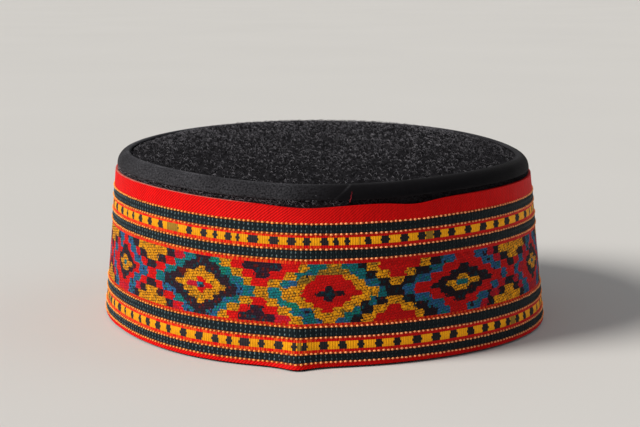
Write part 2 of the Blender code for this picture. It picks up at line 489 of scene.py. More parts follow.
def close_and_smooth(piece, gap=2e-6, angle=50):
    """Merges the ends that meet, turns every face outwards and smooths the shading."""
    bpy.ops.object.select_all(action="DESELECT")
    piece.select_set(True)
    bpy.context.view_layer.objects.active = piece
    bpy.ops.object.mode_set(mode="EDIT")
    bpy.ops.mesh.select_all(action="SELECT")
    bpy.ops.mesh.remove_doubles(threshold=gap)
    bpy.ops.mesh.normals_make_consistent(inside=False)
    bpy.ops.object.mode_set(mode="OBJECT")
    bpy.ops.object.shade_smooth_by_angle(angle=math.radians(angle))


def finish_piece(piece, replaced, materials):
    """Gives the piece its materials and slot, hides the solid it stands for, and lets it ride on the cap."""
    for material in materials:
        piece.data.materials.append(material)
    if replaced:
        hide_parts(replaced)
    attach(piece, "root")
    return piece


def soft_noise(points, scale, seed):
    """Smooth noise from -1 to 1 at each point, with lumps about scale metres across."""
    shift = Vector((seed * 13.7, seed * 5.1, seed * 9.3))
    return np.array([noise.noise(Vector(p) / scale + shift) for p in points])


def stamp(name, template, places, sizes, colours):
    """Joins a copy of the template's mesh at each place, scaled along, up and out, with its own colour."""
    here, along, upward, out = places
    count = len(here)
    shape = np.array([v.co for v in template.data.vertices])
    faces = [list(p.vertices) for p in template.data.polygons]
    moved = (
        here[:, None, :]
        + along[:, None, :] * (shape[None, :, 0:1] * sizes[:, None, 0:1])
        + upward[:, None, :] * (shape[None, :, 1:2] * sizes[:, None, 1:2])
        + out[:, None, :] * (shape[None, :, 2:3] * sizes[:, None, 2:3])
    )
    all_faces = [[i + n * len(shape) for i in face] for n in range(count) for face in faces]
    return joined_mesh(name, moved.reshape(-1, 3), all_faces, np.repeat(colours, len(shape), axis=0))


def joined_mesh(name, points, faces, colours):
    """One smooth-shaded mesh object with a colour for each point."""
    mesh = bpy.data.meshes.new(name)
    mesh.from_pydata(points.tolist(), [], faces)
    mesh.polygons.foreach_set("use_smooth", [True] * len(mesh.polygons))
    piece = bpy.data.objects.new(name, mesh)
    bpy.context.collection.objects.link(piece)
    paint(piece, "thread_colour", colours, "POINT")
    return piece


def fibres(name, paths, thickness, colours):
    """A bundle of three-sided fibres along their paths, thinning towards the tips."""
    count, steps = paths.shape[:2]
    sides = 3
    ahead = np.gradient(paths, axis=1)
    ahead /= np.linalg.norm(ahead, axis=-1, keepdims=True)
    helper = np.where(np.abs(ahead[:, :, 2:3]) < 0.8, [[[0.0, 0.0, 1.0]]], [[[1.0, 0.0, 0.0]]])
    across = np.cross(ahead, helper)
    across /= np.linalg.norm(across, axis=-1, keepdims=True)
    other = np.cross(ahead, across)
    taper = np.linspace(1.0, 0.35, steps)[None, :, None] * thickness[:, None, None] / 2
    turns = [2 * math.pi * side / sides for side in range(sides)]
    rings = [paths + taper * (across * math.cos(turn) + other * math.sin(turn)) for turn in turns]
    points = np.stack(rings, axis=2).reshape(-1, 3)
    tip = (steps - 1) * sides
    one = [[0, 2, 1], [tip, tip + 1, tip + 2]]
    for step in range(0, tip, sides):
        for side in range(sides):
            low, high = step + side, step + (side + 1) % sides
            one.append([low, high, high + sides, low + sides])
    faces = [[i + n * steps * sides for i in face] for n in range(count) for face in one]
    return joined_mesh(name, points, faces, np.repeat(colours, steps * sides, axis=0))


def curly_paths(roots, normals, lengths, steps, generator):
    """Fibre paths that rise from the roots, roll over and dip back, each in its own direction."""
    count = len(roots)
    side = np.cross(normals, [[0.3, 0.5, 0.81]])
    side /= np.linalg.norm(side, axis=-1, keepdims=True)
    other = np.cross(normals, side)
    aim = generator.uniform(0, 2 * math.pi, count)[:, None]
    ahead = (side * np.cos(aim) + other * np.sin(aim))[:, None, :]
    beside = (other * np.cos(aim) - side * np.sin(aim))[:, None, :]
    up = normals[:, None, :]
    share = np.linspace(0, 1, steps)[None, :, None]
    roll = generator.uniform(0.9, 1.7, count)[:, None, None] * math.pi * share
    radius = (lengths * generator.uniform(0.28, 0.5, count))[:, None, None]
    twist = (lengths * generator.uniform(-0.6, 0.6, count))[:, None, None]
    over = ahead * (1 - np.cos(roll)) * radius + up * np.sin(roll) * radius * 1.15
    return roots[:, None, :] + over + beside * twist * share**1.3


# Charts


def chart_runs(runs, expected):
    """Spells out runs such as 3r 4b as a list of letters, which must come to the expected count."""
    letters = []
    for run in runs.split():
        letters += [run[-1]] * int(run[:-1])
    if expected and len(letters) != expected:
        raise ValueError(f"a charted row has {len(letters)} threads and not {expected}: {runs[:30]}")
    return letters


def chart_motif():
    """The figured part as one letter for each pick from the bottom up and each thread of the repeat."""
    picks = [row for count, runs in GROUND_ROWS for row in [chart_runs(runs, REPEAT_THREADS)] * count]
    chart = np.array(picks)
    for row, first, runs in DIAMOND_ROWS:
        letters = chart_runs(runs, 0)
        threads = (np.arange(first, first + len(letters)) - REPEAT_START) % REPEAT_THREADS
        for pick in (2 * row, 2 * row + 1):
            chart[pick, threads] = letters
    return chart[::-1]


def softened(chart, generator):
    """The chart in half threads and half picks, its steps worn to the slopes that the floats make."""
    fine = chart.repeat(2, axis=0).repeat(2, axis=1)
    shown, most = fine.copy(), np.zeros(fine.shape)
    for letter in sorted(set(fine.ravel())):
        weight = np.pad((fine == letter).astype(float), ((EDGE_SOFTENING, EDGE_SOFTENING), (0, 0)), "edge")
        for _ in range(EDGE_SOFTENING):
            weight = (np.roll(weight, 1, 1) + 2 * weight + np.roll(weight, -1, 1)) / 4
            weight[1:-1] = (weight[:-2] + 2 * weight[1:-1] + weight[2:]) / 4
        weight = weight[EDGE_SOFTENING:-EDGE_SOFTENING] + generator.normal(0, 0.04, fine.shape)
        shown[weight > most] = letter
        most = np.maximum(most, weight)
    return shown


def length(name, description, size_mm):
    """A length property, its default in millimetres."""
    return bpy.props.FloatProperty(name=name, description=description, default=size_mm * MM, unit="LENGTH")


def dye(name, description, code):
    """A colour property, its default as an sRGB hex code."""
    return bpy.props.FloatVectorProperty(
        name=name, description=description, default=linear(code)[:3], size=3, subtype="COLOR"
    )


class CapSizes(bpy.types.PropertyGroup):
    """Sizes of what is stitched and brushed."""

    dot_width: length("Dot width", "Width of one raised orange dot", 1.08)
    dot_height: length("Dot height", "Height of one raised orange dot", 0.8)
    tick_width: length("Tick width", "Width of a light tick on a navy stripe", 0.62)
    tick_height: length("Tick height", "Height of a light tick on a navy stripe", 1.15)
    curl_length: length("Curl length", "Length of the fleece's curls", 1.8)
    curl_thickness: length("Curl thickness", "Thickness of a tuft of fibres", 0.11)
    curl_count: bpy.props.IntProperty(
        name="Curls", description="Number of curls in each half of the crown", default=5200, min=100
    )


class CapColours(bpy.types.PropertyGroup):
    """Colours of what is dyed in one piece."""

    dots: dye("Dots", "The orange dot rows", "#FFA44C")
    ticks: dye("Ticks", "The light ticks on the navy stripes", "#566A6E")
    fleece: dye("Fleece", "The fleece's ground", "#121115")
    curl: dye("Curls", "The light curls", "#BAB8C0")
    tape: dye("Tape", "The binding tape", "#0C0B0E")


def cloth_uv(tree, at, scale, start=(0.0, 0.0, 0.0)):
    """The UV map scaled to threads and picks or to millimetres, from a start."""
    uv = add_node(tree, "UVMap", (at[0] - 200, at[1]), {"uv_map": "UVMap"})
    inputs = {"Vector": uv.outputs["UV"], "Scale": scale, "Location": start}
    return add_node(tree, "Mapping", at, inputs=inputs).outputs["Vector"]


def turned(tree, at, vector, degrees):
    """The vector turned in the plane of the cloth."""
    inputs = {"Vector": vector, "Rotation": (0, 0, math.radians(degrees))}
    return add_node(tree, "Mapping", at, inputs=inputs).outputs["Vector"]


def object_place(tree, at):
    """Where a point lies on the object, in metres."""
    return add_node(tree, "TexCoord", at).outputs["Object"]


def attribute_of(tree, at, name, output="Fac"):
    """What the mesh keeps under this name."""
    return add_node(tree, "Attribute", at, {"attribute_name": name}).outputs[output]


def noise_of(tree, at, vector, scale, detail=2.0, roughness=0.5, distortion=0.0):
    """A noise node with about scale lumps to a unit."""
    inputs = {"Vector": vector, "Scale": scale, "Detail": detail, "Roughness": roughness,
              "Distortion": distortion}
    return add_node(tree, "TexNoise", at, inputs=inputs)


def bands_of(tree, at, vector, pitch, distortion, detail, detail_scale):
    """Soft bands across X; the node draws 20 of them in 2 pi units."""
    fields = {"wave_type": "BANDS", "bands_direction": "X", "wave_profile": "SIN"}
    inputs = {"Vector": vector, "Scale": 2 * math.pi / (20 * pitch), "Distortion": distortion,
              "Detail": detail, "Detail Scale": detail_scale}
    return add_node(tree, "TexWave", at, fields, inputs).outputs["Fac"]


def to_range(tree, at, value, low, high, start=0.0, end=1.0):
    """The value moved from start and end to low and high."""
    inputs = {"Value": value, "From Min": start, "From Max": end, "To Min": low, "To Max": high}
    return add_node(tree, "MapRange", at, inputs=inputs).outputs["Result"]


def math_of(tree, at, operation, *values, kind="Math"):
    """Sums and products of numbers, or of vectors with kind VectorMath."""
    return add_node(tree, kind, at, {"operation": operation}, dict(enumerate(values))).outputs[0]


def mixed(tree, at, blend, factor, first, second):
    """Two colours mixed or multiplied."""
    fields = {"data_type": "RGBA", "blend_type": blend}
    return add_node(tree, "Mix", at, fields, {"Factor": factor, "A": first, "B": second}).outputs["Result"]


def ramp_of(tree, at, value, low, high, start=0.0, end=1.0):
    """A colour that goes from low at start to high at end."""
    made = add_node(tree, "ValToRGB", at, inputs={"Fac": value})
    for element, position, colour in zip(made.color_ramp.elements, (start, end), (low, high)):
        element.position = position
        element.color = colour
    return made.outputs["Color"]


def bump_of(tree, at, height, strength, distance):
    """Fine relief, with its depth in metres."""
    inputs = {"Height": height, "Strength": strength, "Distance": distance}
    return add_node(tree, "Bump", at, inputs=inputs).outputs["Normal"]


def end_with_cloth(tree, at, colour, roughness, specular, bump=None, sheen=0.0):
    """The cloth's shader and the material's output."""
    inputs = {"Base Color": colour, "Roughness": roughness, "Specular IOR Level": specular,
              "Sheen Weight": sheen}
    if bump is not None:
        inputs["Normal"] = bump
    shader = add_node(tree, "BsdfPrincipled", at, inputs=inputs)
    add_node(tree, "OutputMaterial", (at[0] + 300, at[1]), inputs={"Surface": shader.outputs["BSDF"]})


def woven_material():
    """Mercerised cotton brocade: short bright floats laid brick-fashion, with painted shade in the gaps
    between them.
    """
    made, tree = new_material("mercerised_cotton_brocade")
    # One unit across is a thread and one up is a pick, counted from the figured part's lower edge
    scale = (THREADS_ROUND, UV_HEIGHT_MM / PICK_MM, 1.0)
    threads = cloth_uv(tree, (-1500, 0), scale, (0.0, -FIGURED_FROM_MM / PICK_MM, 0.0))
    uneven = noise_of(tree, (-1300, -250), threads, 0.8, roughness=0.6)
    # The floats are pushed about by up to half a thread, and lean a little, as the cloth was pulled askew
    pushed = math_of(
        tree, (-1100, -100), "MULTIPLY_ADD", uneven.outputs["Color"], (0.9, 0.6, 0.0), threads,
        kind="VectorMath",
    )
    centred = math_of(tree, (-950, -100), "SUBTRACT", pushed, (0.45, 0.3, 0.0), kind="VectorMath")
    leaning = turned(tree, (-880, -250), centred, -9)
    floats = add_node(
        tree, "TexBrick", (-780, 0), {"offset": 0.5},
        {"Vector": leaning, "Color1": (1.1, 1.1, 1.1, 1), "Color2": (0.7, 0.7, 0.7, 1),
         "Mortar": (0.8, 0.8, 0.8, 1), "Scale": 1.0, "Mortar Size": 0.24, "Mortar Smooth": 1.0,
         "Brick Width": 1.3, "Row Height": 1.0},
    )
    dyed = attribute_of(tree, (-780, 300), "thread_colour", "Color")
    shaded = mixed(tree, (-550, 250), "MULTIPLY", 1.0, dyed, floats.outputs["Color"])
    # The painted shade in the gaps opens and closes from place to place
    broken = noise_of(tree, (-1100, 500), threads, 1.3, detail=1.0)
    opening = to_range(tree, (-900, 700), broken.outputs["Fac"], 0.2, 1.4, start=0.4, end=0.56)
    deepest = attribute_of(tree, (-780, 500), "painted_gap_shade")
    gap = math_of(tree, (-550, 480), "MULTIPLY", deepest, floats.outputs["Fac"])
    open_gap = math_of(tree, (-450, 600), "MULTIPLY", gap, opening)
    gapped = mixed(tree, (-350, 300), "MIX", open_gap, shaded, linear("#1A0C08"))
    height = math_of(tree, (-550, -200), "MULTIPLY_ADD", floats.outputs["Fac"], -1.0, uneven.outputs["Fac"])
    bump = bump_of(tree, (-350, -200), height, 0.6, 0.3 * MM)
    end_with_cloth(tree, (-120, 100), gapped, 0.7, 0.12, bump)
    return made


def twill_material():
    """Red cotton twill: steep fine wales that climb to the right, painted bright on their crests and dark
    between them.
    """
    made, tree = new_material("red_cotton_twill")
    in_mm = cloth_uv(tree, (-1200, 0), (BORDER_LENGTH / MM, UV_HEIGHT_MM, 1.0))
    # Wales 1 mm apart, painted clear where the light rakes them and painted out where the cloth is in soft
    # shade: painted light and shade
    wales = bands_of(tree, (-800, 0), turned(tree, (-1000, 0), in_mm, 48), WALE_MM, 1.4, 2.0, 2.5)
    dyed = attribute_of(tree, (-800, 300), "thread_colour", "Color")
    raked = attribute_of(tree, (-800, 500), "painted_light_share")
    depth = to_range(tree, (-600, 50), wales, 0.66, 1.2)
    shaded = mixed(tree, (-400, 200), "MULTIPLY", raked, dyed, depth)
    bump = bump_of(tree, (-400, -200), wales, 0.6, 0.2 * MM)
    end_with_cloth(tree, (-150, 100), shaded, 0.6, 0.07, bump)
    return made


def ribbed_material():
    """Warp-faced ribbed cotton, as in the navy and red stripes and the blocks: fine upright ribs."""
    made, tree = new_material("warp_ribbed_cotton")
    in_mm = cloth_uv(tree, (-1200, 0), (BORDER_LENGTH / MM, UV_HEIGHT_MM, 1.0))
    ribs = bands_of(tree, (-950, 0), in_mm, RIB_MM, 0.4, 1.0, 1.0)
    dyed = attribute_of(tree, (-950, 300), "thread_colour", "Color")
    # The ribs are painted darker in their grooves: painted shade
    depth = to_range(tree, (-700, 50), ribs, 0.84, 1.06)
    shaded = mixed(tree, (-500, 200), "MULTIPLY", 1.0, dyed, depth)
    bump = bump_of(tree, (-500, -200), ribs, 0.5, 0.2 * MM)
    end_with_cloth(tree, (-200, 100), shaded, 0.6, 0.12, bump)
    return made


def yarn_material():
    """Stranded embroidery cotton in raised stitches: bright and slightly glossy, each stitch its own tone."""
    made, tree = new_material("stranded_cotton_stitches")
    dyed = attribute_of(tree, (-600, 200), "thread_colour", "Color")
    # Plies about 0.4 mm apart
    plies = noise_of(tree, (-650, -100), object_place(tree, (-900, -100)), 2600.0)
    bump = bump_of(tree, (-400, -150), plies.outputs["Fac"], 0.5, 0.1 * MM)
    end_with_cloth(tree, (-150, 100), dyed, 0.5, 0.2, bump)
    return made


def fleece_material(name, colour, light):
    """Curly pile fleece of wool: a dark matt ground with paler wisps, no gloss, a soft edge."""
    made, tree = new_material(name)
    place_of = object_place(tree, (-1100, 0))
    # Clumps of pile about 2.5 mm across, and wisps of 0.5 mm over them
    clumps = noise_of(tree, (-850, 100), place_of, 420.0, 5.0, 0.75, 1.5).outputs["Fac"]
    wisps = noise_of(tree, (-850, -200), place_of, 1500.0, 4.0, 0.7, 3.0).outputs["Fac"]
    dark = tuple(0.35 * c for c in colour) + (1,)
    tone = ramp_of(tree, (-600, 150), clumps, dark, tuple(light) + (1,), start=0.38, end=0.72)
    total = math_of(tree, (-600, -150), "MULTIPLY_ADD", wisps, 0.6, clumps)
    bump = bump_of(tree, (-350, -200), total, 0.9, 1.2 * MM)
    end_with_cloth(tree, (-100, 100), tone, 0.95, 0.05, bump)
    return made


def curl_material():
    """Loose wool pile fibres: matt, each tuft its own grey."""
    made, tree = new_material("wool_pile_curls")
    end_with_cloth(tree, (-150, 100), attribute_of(tree, (-400, 200), "thread_colour", "Color"), 0.75, 0.15)
    return made


def tape_material(colour):
    """Brushed polycotton bias tape: dark grey, smooth and matt, paler where its rolled lip and lower edge are
    worn, with painted light on its lit end and a painted highlight along the joint's fold.
    """
    made, tree = new_material("brushed_polycotton_tape")
    in_mm = cloth_uv(tree, (-1200, 0), (BORDER_LENGTH / MM, TAPE_UV_MM, 1.0))
    # Plain weave on the bias, drawn at 0.7 mm where the real threads are finer than 0.3 mm
    weave = add_node(
        tree, "TexBrick", (-800, -100), {"offset": 0.5},
        {"Vector": turned(tree, (-1000, -100), in_mm, 45), "Scale": 1.0, "Mortar Size": 0.1,
         "Mortar Smooth": 1.0, "Brick Width": 0.7, "Row Height": 0.35},
    )
    brushed = noise_of(tree, (-1000, 250), in_mm, 0.35, 5.0, 0.65).outputs["Fac"]
    dark = tuple(0.75 * c for c in colour) + (1,)
    pale = tuple(1.3 * c for c in colour) + (1,)
    tone = ramp_of(tree, (-700, 250), brushed, dark, pale, start=0.3, end=0.75)
    # Lint and rubbed threads in specks of about 0.6 mm
    specks = noise_of(tree, (-1000, 650), in_mm, 1.3, 3.0, 0.7).outputs["Fac"]
    specked = to_range(tree, (-780, 650), specks, 0.0, 2.0, start=0.36, end=0.64)
    worn_and_lit = math_of(tree, (-600, 550), "MULTIPLY", attribute_of(tree, (-900, 500), "wear_and_painted_light"), specked)
    shaded = mixed(tree, (-400, 300), "MIX", worn_and_lit, tone, linear("#6A6A70"))
    height = math_of(tree, (-600, -150), "MULTIPLY_ADD", weave.outputs["Fac"], -0.4, brushed)
    bump = bump_of(tree, (-350, -200), height, 0.35, 0.2 * MM)
    end_with_cloth(tree, (-100, 100), shaded, 0.8, 0.06, bump, sheen=0.02)
    return made


def floor_material():
    """Matt painted board: pale and even, with a faint mottle."""
    made, tree = new_material("matt_painted_floor")
    mottle = noise_of(tree, (-600, 0), object_place(tree, (-800, 0)), 3.0).outputs["Fac"]
    tone = ramp_of(tree, (-400, 0), mottle, linear("#D3D2CF"), linear("#D9D8D5"))
    end_with_cloth(tree, (-100, 0), tone, 0.9, 0.2)
    return made


# The woven border


def column_bearing(column):
    """The bearing of the middle of a column of the border's mesh, half a thread wide."""
    return thread_bearing(BACK_SEAM_THREAD + (column + 0.5) / 2)


def border_heights():
    """The height of each row of the outer face from hem to top edge, and the stripe that each row shows."""
    heights, stripes, low = [BAND_HEM], [], BAND_HEM
    for top, rows, stripe in STRIPES:
        for step in range(rows):
            heights.append(low + (top * MM - low) * (step + 1) / rows)
            stripes.append((stripe, step))
        low = top * MM
    return np.array(heights), stripes


def with_strays(line, chance):
    """The line with the yarns that peep through here and there."""
    made = line.copy()
    for letter, strays in STRAY_YARNS.items():
        low = 0.0
        for other, share in strays:
            made[(line == letter) & (chance >= low) & (chance < low + share)] = other
            low += share
    return made


def rounded_blocks(line, generator):
    """The line with nearly every dark block cut back by half a thread at its ends, for round corners."""
    made = line.copy()
    starts = (line == "m") & (np.roll(line, 1) != "m")
    ends = (line == "m") & (np.roll(line, -1) != "m")
    keep = generator.uniform(0, 1, len(line)) < 0.08
    made[(starts | ends) & ~keep] = "a"
    return made


def border_letters(stripes, columns, generator):
    """The thread letter for each row and column of the border's outer face."""
    motif = softened(chart_motif(), generator)
    repeat = 2 * REPEAT_THREADS
    blocks = {
        "checker_high": chart_runs(CHECKER_HIGH, repeat),
        "checker_low": chart_runs(CHECKER_LOW, repeat),
    }
    half = np.arange(columns) + 2 * (BACK_SEAM_THREAD - REPEAT_START)
    plain = {"hem": "r", "navy": "n", "twill": "r", "dots": "s"}
    letters = []
    # The share of orange flecks in the red rows follows the painted light: more of them on the lit side
    orange_share = 0.5 * painted_light_share(column_bearing(np.arange(columns)))
    for stripe, step in stripes:
        if stripe == "motif":
            # A float covers one thread pitch and lies half a pitch over on every other pick
            shift = (step // 2 + 1) % 2
            if step % 2 == 0:
                stagger = np.repeat(generator.integers(-1, 2, columns // 2 + 1), 2)[shift:columns + shift]
                chance = np.repeat(generator.uniform(0, 1, columns // 2 + 1), 2)[shift:columns + shift]
            letters.append(with_strays(motif[step, (half + stagger) % repeat], chance))
        elif stripe in blocks:
            line = np.array(blocks[stripe])[half % repeat]
            letters.append(rounded_blocks(line, generator) if step != 1 else line)
        elif stripe == "speckle":
            letters.append(np.where(half // 2 % 2, "h", "r"))
        elif stripe == "red":
            letters.append(np.where(generator.uniform(0, 1, columns) < orange_share, "h", "r"))
        else:
            letters.append(np.full(columns, plain[stripe]))
    return letters


def border_relief(column, level, columns, stripes):
    """How far each vertex of the outer face wavers up and stands out, in metres."""
    turn = 2 * math.pi * column / columns
    ring = np.stack([np.cos(turn), np.sin(turn), 0 * turn], axis=-1) * THREADS_ROUND / (2 * math.pi)
    drift = soft_noise(ring + [0, 0, 1] * level[:, None] * 2.5, 50.0, 3)
    puff = soft_noise(ring + [0, 0, 1] * level[:, None] * 1.2, 9.0, 5)
    wavers = (level > 0) & (level < len(stripes))
    seam_gap = np.abs(np.minimum(column, columns - column)) / 2
    groove = SEAM_GROOVE * np.exp(-((seam_gap / SEAM_GROOVE_THREADS) ** 2))
    raised = np.array([RAISED_STRIPES.get(stripe, 0.0) if step else 0.0 for stripe, step in stripes])
    raised = np.append(raised, 0.0)[np.minimum(level, len(stripes))]
    outer = level <= len(stripes)
    return np.where(wavers, ROW_WAVER * drift, 0), np.where(outer, FLOAT_PUFF * puff + raised - groove, 0)


def border_dyes(letters, columns, generator):
    """The linear RGBA of each row and column, with each thread and pick dyed a little differently, and each
    yarn painted darker or brighter away from the lit side.
    """
    rgba = {letter: linear(code) for letter, code in THREAD_COLOURS.items()}
    table = np.array([[rgba[letter] for letter in line] for line in letters])
    uneven = generator.normal(1.0, 0.06, table.shape[:2]) * generator.normal(1.0, 0.04, (len(letters), 1))
    table[:, :, :3] *= np.clip(uneven, 0.7, 1.3)[:, :, None]
    # Away from the lit side each yarn is painted darker or brighter by its tone: painted shade on the reds
    # and darks
    away_from_light = 1 - painted_light_share(column_bearing(np.arange(columns)))
    deeper = np.array([[SHADED_SIDE_TONES.get(letter, 1.0) - 1 for letter in line] for line in letters])
    table[:, :, :3] *= (1 + deeper * away_from_light[None, :])[:, :, None]
    return table


def cut_edge_colour(column, columns, generator):
    """The cut top edge: pale filling shows at the wearer's right, thread by thread."""
    away = (column_bearing(column) - CUT_EDGE_MIDDLE) / CUT_EDGE_SPREAD
    pale = np.clip(1 - np.abs(away) ** 4, 0, 1) * generator.uniform(0.2, 1.0, columns)[column]
    red, white = np.array(linear(THREAD_COLOURS["r"])), np.array(linear(THREAD_COLOURS["w"]))
    return red + (white - red) * pale[:, None]


class CAP_OT_woven_border(bpy.types.Operator):
    """Weaves the patterned border over the fleece wall"""

    bl_idname = "skullcap.woven_border"
    bl_label = "Woven border"

    def execute(self, context):
        generator = np.random.default_rng(11)
        columns = 2 * THREADS_ROUND
        heights, stripes = border_heights()
        insets = np.concatenate([np.zeros(len(heights)), [inset * MM for inset, _ in BORDER_BACK]])
        section = np.concatenate([heights, [height * MM for _, height in BORDER_BACK]])
        piece, column, row = start_grid("woven_border", columns, len(section))
        bearing = thread_bearing(BACK_SEAM_THREAD + column / 2)
        level = row % len(section)
        waver, stand = border_relief(column, level, columns, stripes)
        move_vertices(piece, place(bearing, section[level] + waver, insets[level] - stand, sag=True))
        set_uv(piece, column / columns, section[level] / (UV_HEIGHT_MM * MM))

        cell_column, cell_row = face_cells(piece, column, row)
        letters = border_letters(stripes, columns, generator)
        dyes = border_dyes(letters, columns, generator)
        on_face = cell_row < len(letters)
        shown = np.minimum(cell_row, len(letters) - 1)
        reverse = np.array(linear(THREAD_COLOURS["d"]))
        faces = np.where(on_face[:, None], dyes[shown, cell_column], reverse[None, :])
        top_edge = ~on_face & (cell_row <= len(letters) + 1)
        faces[top_edge] = cut_edge_colour(cell_column, columns, generator)[top_edge]
        paint(piece, "thread_colour", np.repeat(faces, 4, axis=0))
        # How dark the painted shade is in the gaps between floats on each face
        depths = np.array([[GAP_DEPTHS.get(letter, PLAIN_GAP_DEPTH) for letter in line] for line in letters])
        keep_values(piece, "painted_gap_shade", np.where(on_face, depths[shown, cell_column], 0.2))
        # The painted light share, kept for the twill, whose wales are painted clear on the lit side
        keep_values(piece, "painted_light_share", 0.12 + 0.88 * painted_light_share(column_bearing(cell_column)))
        kinds = {"motif": 0, "speckle": 0, "twill": 1, "hem": 1}
        by_row = np.array([kinds.get(stripe, 2) for stripe, _ in stripes])
        slots = np.where(on_face, by_row[shown], 2)
        piece.data.polygons.foreach_set("material_index", slots.astype(np.int32))
        close_and_smooth(piece)
        finish_piece(
            piece, "patterned_band", [woven_material(), twill_material(), ribbed_material()]
        )
        return {"FINISHED"}


# Stitches over the border


def row_places(rows, wobble, generator):
    """Bearings and heights of the stitches of each row, unevenly spaced by a share of their pitch."""
    bearings, heights = [], []
    for height, count in rows:
        step = np.arange(count) + generator.normal(0, wobble, count)
        bearings.append(thread_bearing(BACK_SEAM_THREAD + (step + 0.5) * THREADS_ROUND / count))
        heights.append(height * MM + generator.normal(0, wobble * MM, count))
    return np.concatenate(bearings), np.concatenate(heights)


def stitches(name, beads, places, sizes, colours):
    """One piece of round stitches: a low bead with so many segments and rings, copied to each place."""
    bpy.ops.object.select_all(action="DESELECT")
    bpy.ops.mesh.primitive_uv_sphere_add(segments=beads[0], ring_count=beads[1], radius=0.5)
    template = bpy.context.object
    piece = stamp(name, template, places, sizes, with_alpha(colours))
    bpy.data.objects.remove(template)
    return finish_piece(piece, None, [yarn_material()])


class CAP_OT_dot_rows(bpy.types.Operator):
    """Lays the eight rows of raised orange dots"""

    bl_idname = "skullcap.dot_rows"
    bl_label = "Rows of orange dots"

    def execute(self, context):
        sizes = context.scene.cap_sizes
        generator = np.random.default_rng(21)
        bearings, heights = row_places(DOT_ROWS, 0.05, generator)
        spread = generator.normal(1, 0.08, (len(bearings), 3))
        scale = np.array([sizes.dot_width, sizes.dot_height, DOT_STAND]) * spread
        tone = generator.normal(1, 0.1, (len(bearings), 1))
        shade = np.array(context.scene.cap_colours.dots)[None, :] * tone
        # The dots are painted pinker away from the lit side and oranger where painted light falls
        shade[:, 2] *= 2 - painted_light_share(bearings)
        places = on_wall_frames(bearings, heights, -0.08 * MM, sag=True)
        stitches("orange_dot_rows", (8, 4), places, scale, shade)
        return {"FINISHED"}


class CAP_OT_tick_rows(bpy.types.Operator):
    """Lays the two rows of light ticks on each navy stripe"""

    bl_idname = "skullcap.tick_rows"
    bl_label = "Ticks on the navy stripes"

    def execute(self, context):
        sizes = context.scene.cap_sizes
        generator = np.random.default_rng(31)
        rows = [(height, THREADS_ROUND // 2) for height in TICK_ROWS]
        bearings, heights = row_places(rows, 0.06, generator)
        spread = generator.normal(1, 0.1, (len(bearings), 3))
        scale = np.array([sizes.tick_width, sizes.tick_height, TICK_STAND]) * spread
        # They are painted bright on the lit side, at the wearer's right, and nearly dark elsewhere: painted
        # light and shade
        tone = generator.normal(1, 0.22, (len(bearings), 1)).clip(0.4, 1.6)
        tone *= 0.16 + 0.84 * painted_light_share(bearings)[:, None]
        shade = np.array(context.scene.cap_colours.ticks)[None, :] * tone
        places = on_wall_frames(bearings, heights, -0.05 * MM, sag=True)
        stitches("navy_stripe_ticks", (6, 3), places, scale, shade)
        return {"FINISHED"}


# Fleece


class CAP_OT_fleece_wall(bpy.types.Operator):
    """Makes the fleece wall inside the border"""

    bl_idname = "skullcap.fleece_wall"
    bl_label = "Fleece wall"

    def execute(self, context):
        near, far = FLEECE_INSET / MM, (FLEECE_INSET + FLEECE_THICKNESS) / MM
        outer = [(near, height) for height in WALL_OUTER_MM]
        top = [(near + 0.4, 67.1), (far - 0.5, 67.15)]
        inner = [(far, height) for height in [66.6] + list(range(64, 3, -4)) + [1.4, 0.4]]
        bottom = [(far - 0.6, 0.05), (near + 0.6, 0.05), (near, 0.35)]
        section = np.array(outer + top + inner + bottom) * MM
        piece, column, row = start_grid("fleece_wall", WALL_COLUMNS, len(section) - 1)
        bearing = column % WALL_COLUMNS * 360 / WALL_COLUMNS - 180
        height, inset = section[row, 1], section[row, 0]
        points = place(bearing, height, inset)
        on_inner = inset > (far - 0.3) * MM
        on_strip = (height > PILE_STRIP_FROM) & ~on_inner
        lumps = soft_noise(points, 0.0022, 1) + 0.6 * soft_noise(points, 0.0009, 2)
        inset = inset + np.where(on_inner, 0.45 * MM * lumps, 0) - np.where(on_strip, 0.3 * MM * lumps, 0)
        move_vertices(piece, place(bearing, height, inset))
        set_uv(piece, column / WALL_COLUMNS, row / (len(section) - 1))
        close_and_smooth(piece)
        colour = context.scene.cap_colours.fleece
        material = fleece_material("curly_pile_fleece_wall", colour, linear("#3E3D41")[:3])
        finish_piece(piece, "side_wall", [material])
        return {"FINISHED"}


def crown_edge(bearing):
    """The crown's edge, where it runs in under the rolled tape."""
    return place(bearing, CROWN_EDGE_HEIGHT, CROWN_EDGE_INSET)


def crown_surface(bearing, spread):
    """The crown's top: flat in the middle, rounding down steeply to its edge at spread 1."""
    ring = crown_edge(np.arange(0, 360, 4.5))
    middle = ring.mean(0)
    point = middle + (crown_edge(bearing) - middle) * spread[:, None]
    point[:, 2] += CROWN_RISE * (1 - spread**CROWN_SQUARENESS)
    return point


def round_grid(column, row, cells):
    """Bearing and spread for each vertex of a square grid wrapped onto a disc."""
    x = column / cells * 2 - 1
    y = row / cells * 2 - 1
    sideways = np.abs(x) >= np.abs(y)
    turn = np.where(
        sideways,
        (y / np.where(sideways, np.where(x == 0, 1, x), 1)) * 45 + np.where(x < 0, 180, 0),
        90 - (x / np.where(sideways, 1, np.where(y == 0, 1, y))) * 45 + np.where(y < 0, 180, 0),
    )
    return turn, np.maximum(np.abs(x), np.abs(y))


